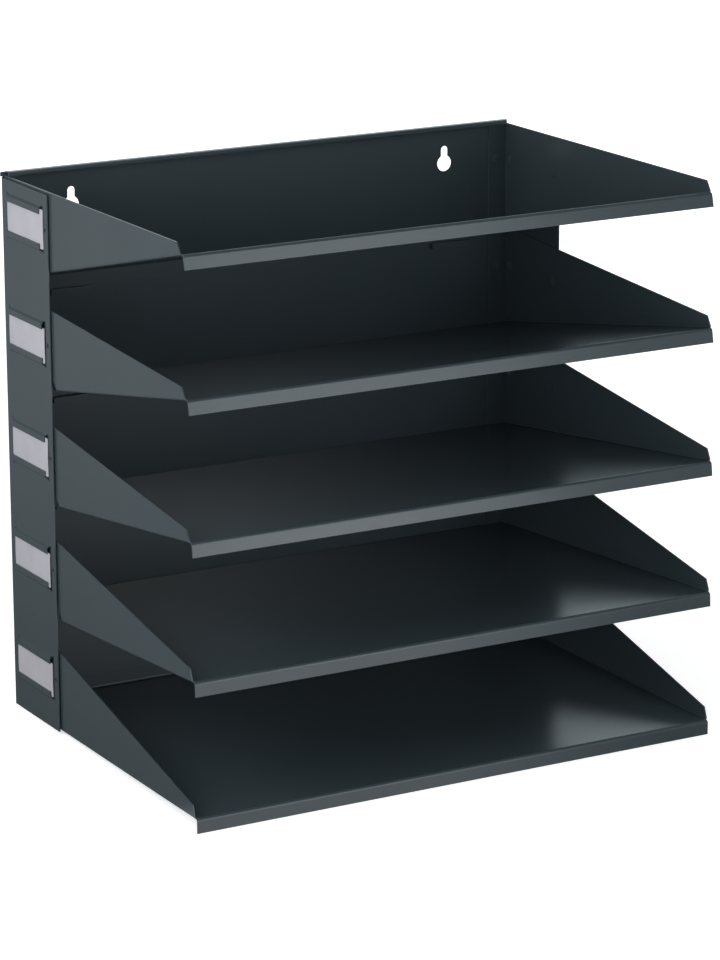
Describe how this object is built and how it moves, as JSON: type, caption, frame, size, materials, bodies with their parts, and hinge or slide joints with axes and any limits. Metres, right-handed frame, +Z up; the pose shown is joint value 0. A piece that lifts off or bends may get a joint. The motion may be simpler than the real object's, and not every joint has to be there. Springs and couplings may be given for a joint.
{
  "type": "desktop letter sorter with sloping trays",
  "caption": "Sheet-steel letter sorter: sloping open-front trays between two cheeks on a back panel with keyholes, and slide-in label cards on one side.",
  "frame": {"origin": "middle of the back panel's wall face at its bottom edge", "axes": "+X to the right seen from the front, +Y into the wall, +Z up"},
  "size_m": [0.3613, 0.2488, 0.3482],
  "materials": {
    "powder_coat": "satin powder coat",
    "rivet_steel": "satin powder coat",
    "card": "matt paper card"
  },
  "bodies": {
    "carcass": {"back_panel": "powder_coat", "left_cheek": "powder_coat", "right_cheek": "powder_coat", "tray_5": "powder_coat", "tray_4": "powder_coat", "tray_3": "powder_coat", "tray_2": "powder_coat", "tray_1": "powder_coat", "wing_rivets_left": "rivet_steel", "wing_rivets_right": "rivet_steel", "flange_rivets": "rivet_steel", "tray_rivets": "rivet_steel"},
    "label_card_5": {"label_card_5": "card"},
    "label_card_4": {"label_card_4": "card"},
    "label_card_3": {"label_card_3": "card"},
    "label_card_2": {"label_card_2": "card"},
    "label_card_1": {"label_card_1": "card"}
  },
  "joints": [
    {"name": "label_card_5_slide", "type": "slide", "parent": "carcass", "child": "label_card_5", "axis": [0, -1, 0], "range_m": [0, 0.045]},
    {"name": "label_card_4_slide", "type": "slide", "parent": "carcass", "child": "label_card_4", "axis": [0, -1, 0], "range_m": [0, 0.045]},
    {"name": "label_card_3_slide", "type": "slide", "parent": "carcass", "child": "label_card_3", "axis": [0, -1, 0], "range_m": [0, 0.045]},
    {"name": "label_card_2_slide", "type": "slide", "parent": "carcass", "child": "label_card_2", "axis": [0, -1, 0], "range_m": [0, 0.045]},
    {"name": "label_card_1_slide", "type": "slide", "parent": "carcass", "child": "label_card_1", "axis": [0, -1, 0], "range_m": [0, 0.045]}
  ]
}
